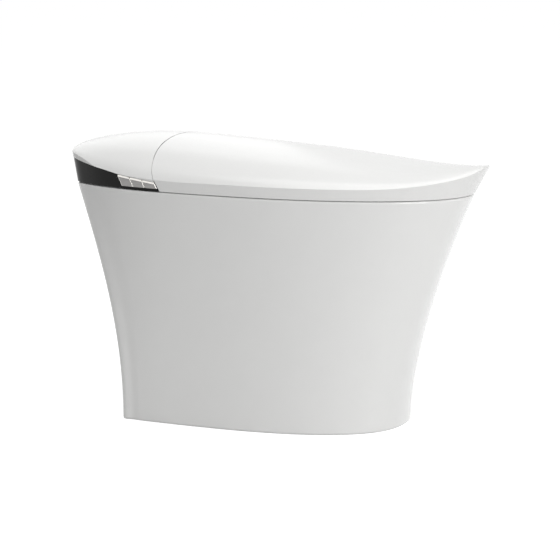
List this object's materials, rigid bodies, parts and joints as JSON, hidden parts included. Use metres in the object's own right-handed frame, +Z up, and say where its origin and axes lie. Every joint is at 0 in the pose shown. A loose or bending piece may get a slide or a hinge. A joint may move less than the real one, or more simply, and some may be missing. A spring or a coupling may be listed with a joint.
{
  "type": "smart toilet",
  "caption": "Tankless smart toilet with a flared one-piece pedestal, a domed lid over a heated seat, a rear machine cover and a row of side keys.",
  "frame": {"origin": "floor level, in the middle of the object's footprint box", "axes": "+Z up, -Y towards the front (nose), +Y towards the wall, +X to the seated user's left; the keys are on the -X side"},
  "size_m": [0.3646, 0.7196, 0.4731],
  "materials": {
    "vitreous_china": "glazed vitreous china, gloss white, opaque",
    "white_gloss": "gloss white moulded plastic",
    "white_moulding": "satin white moulded plastic",
    "black_gloss": "gloss black moulded panel",
    "satin_metal": "brushed metal key caps with a bright bevel",
    "grey_moulding": "matte grey moulding",
    "black_moulding": "matte black moulding",
    "steel": "stainless steel",
    "brass": "machined brass",
    "foil": "foil heating mat",
    "black_rubber": "soft black rubber",
    "white_rubber": "soft white rubber pads",
    "clear_hose": "translucent silicone hose",
    "circuit": "green circuit board with components"
  },
  "bodies": {
    "pedestal": {"ceramic_body": "vitreous_china", "outlet_seal": "black_rubber", "chassis_plate": "grey_moulding", "chassis_screws": "steel", "rear_cover": "white_gloss", "side_panel_right": "black_gloss", "side_panel_left": "black_gloss", "key_membrane": "black_rubber", "hinge_brackets": "grey_moulding", "bracket_screws": "steel", "hinge_pins": "steel", "lid_damper": "grey_moulding", "seat_damper": "grey_moulding", "wand_housing": "white_moulding", "rear_wand_stepper": "steel", "front_wand_stepper": "steel", "dryer_duct": "grey_moulding", "dryer_housing": "grey_moulding", "dryer_motor": "steel", "deodoriser_frame": "black_moulding", "carbon_filter": "grey_moulding", "water_inlet": "brass", "inlet_valve": "white_moulding", "water_heater": "white_moulding", "supply_hose": "clear_hose", "spray_hose": "clear_hose", "flush_valve": "white_moulding", "flush_tube": "grey_moulding", "flush_hose": "clear_hose", "cord_gland": "black_moulding", "control_box": "grey_moulding", "control_board": "circuit", "power_box": "grey_moulding", "power_board": "circuit"},
    "lid": {"lid_shell": "white_gloss", "lid_liner": "white_gloss", "lid_pads": "white_rubber", "lid_arms": "white_moulding"},
    "seat": {"seat_base": "white_gloss", "seat_heater_mat": "foil", "seat_top": "white_gloss", "seat_pads": "white_rubber", "seat_arms": "white_moulding"},
    "wash_key": {"key_wash": "satin_metal"},
    "dry_key": {"key_dry": "satin_metal"},
    "flush_key": {"key_flush": "satin_metal"},
    "rear_wand": {"rear_wand_tube": "steel", "rear_wand_nozzle": "white_gloss"},
    "front_wand": {"front_wand_tube": "steel", "front_wand_nozzle": "white_gloss"},
    "outlet_flap": {"dryer_flap": "white_moulding"},
    "blower_wheel": {"dryer_impeller": "black_moulding"},
    "deodoriser_wheel": {"deodoriser_fan": "black_moulding"}
  },
  "joints": [
    {"name": "lid_hinge", "type": "hinge", "parent": "pedestal", "child": "lid", "pos_m": [0, 0.166, 0.45], "axis": [-1, 0, 0], "range_deg": [0, 100]},
    {"name": "seat_hinge", "type": "hinge", "parent": "pedestal", "child": "seat", "pos_m": [0, 0.166, 0.45], "axis": [-1, 0, 0], "range_deg": [0, 96]},
    {"name": "wash_key_press", "type": "slide", "parent": "pedestal", "child": "wash_key", "axis": [1, 0, 0], "range_m": [0, 0.0015], "stiffness_N_per_m": 600, "springref_m": -0.0005},
    {"name": "dry_key_press", "type": "slide", "parent": "pedestal", "child": "dry_key", "axis": [1, 0, 0], "range_m": [0, 0.0015], "stiffness_N_per_m": 600, "springref_m": -0.0005},
    {"name": "flush_key_press", "type": "slide", "parent": "pedestal", "child": "flush_key", "axis": [1, 0, 0], "range_m": [0, 0.0015], "stiffness_N_per_m": 600, "springref_m": -0.0005},
    {"name": "rear_wand_slide", "type": "slide", "parent": "pedestal", "child": "rear_wand", "axis": [0, -0.9659, -0.2588], "range_m": [0, 0.08]},
    {"name": "front_wand_slide", "type": "slide", "parent": "pedestal", "child": "front_wand", "axis": [0, -0.9659, -0.2588], "range_m": [0, 0.08]},
    {"name": "dryer_flap_hinge", "type": "hinge", "parent": "pedestal", "child": "outlet_flap", "pos_m": [0.041, 0.0536, 0.3798], "axis": [-1, 0, 0], "range_deg": [0, 70]},
    {"name": "dryer_impeller_spin", "type": "hinge", "parent": "pedestal", "child": "blower_wheel", "pos_m": [0.066, 0.26, 0.42], "axis": [0, 0, 1], "continuous": true},
    {"name": "deodoriser_fan_spin", "type": "hinge", "parent": "pedestal", "child": "deodoriser_wheel", "pos_m": [-0.07, 0.256, 0.41], "axis": [0, 0, 1], "continuous": true}
  ],
  "couplings": [
    {"joint": "seat_hinge", "follows": "lid_hinge", "ratio": 0.96}
  ]
}
